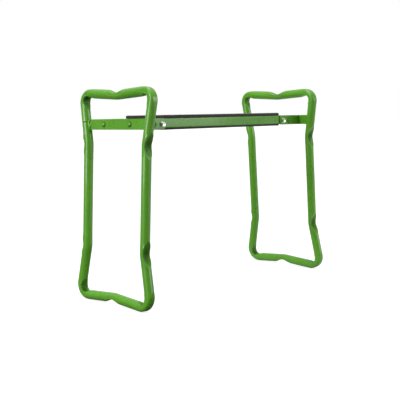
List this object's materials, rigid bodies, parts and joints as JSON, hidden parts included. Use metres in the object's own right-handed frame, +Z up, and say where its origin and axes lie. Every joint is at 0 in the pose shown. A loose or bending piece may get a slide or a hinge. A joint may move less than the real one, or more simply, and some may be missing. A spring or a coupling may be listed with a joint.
{
  "type": "garden kneeler seat",
  "caption": "Folding garden kneeler and seat: a foam-padded steel bench hung between round-tube leg loops that double as hand rails.",
  "frame": {"origin": "middle of the footprint on the ground, with the seat pad facing up", "axes": "+X along the seat from the left leg loop to the right one, +Y to the back, +Z up"},
  "size_m": [0.6418, 0.2598, 0.4898],
  "materials": {
    "green_powder_coat": "gloss",
    "zinc_hardware": "satin",
    "galvanised_sheet": "matte",
    "nylon": "satin",
    "black_foam": "matte"
  },
  "bodies": {
    "seat": {"hinge_plate_back_left": "green_powder_coat", "hinge_plate_back_right": "green_powder_coat", "hinge_plate_front_left": "green_powder_coat", "hinge_plate_front_right": "green_powder_coat", "seat_end_rail_left": "green_powder_coat", "seat_end_rail_right": "green_powder_coat", "seat_rail_front": "green_powder_coat", "seat_rail_back": "green_powder_coat", "pivot_bolts_left": "zinc_hardware", "pivot_bolts_right": "zinc_hardware", "pivot_washers_left": "zinc_hardware", "pivot_washers_right": "zinc_hardware", "pivot_nuts_left": "zinc_hardware", "pivot_nuts_right": "zinc_hardware", "pivot_spacers_left": "nylon", "pivot_spacers_right": "nylon", "seat_pan": "galvanised_sheet", "pad_top": "black_foam", "pad_bottom": "black_foam"},
    "left_leg": {"leg_tube_left": "green_powder_coat", "crossbar_left": "green_powder_coat", "crossbar_welds_left": "green_powder_coat", "hinge_bracket_left": "green_powder_coat", "bracket_rivets_left": "green_powder_coat", "stop_pins_left": "green_powder_coat"},
    "right_leg": {"leg_tube_right": "green_powder_coat", "crossbar_right": "green_powder_coat", "crossbar_welds_right": "green_powder_coat", "hinge_bracket_right": "green_powder_coat", "bracket_rivets_right": "green_powder_coat", "stop_pins_right": "green_powder_coat"}
  },
  "joints": [
    {"name": "left_leg_fold", "type": "hinge", "parent": "seat", "child": "left_leg", "pos_m": [-0.2153, 0, 0.4065], "axis": [0, -1, 0], "range_deg": [0, 97]},
    {"name": "right_leg_fold", "type": "hinge", "parent": "seat", "child": "right_leg", "pos_m": [0.2153, 0, 0.4065], "axis": [0, 1, 0], "range_deg": [0, 89]}
  ]
}
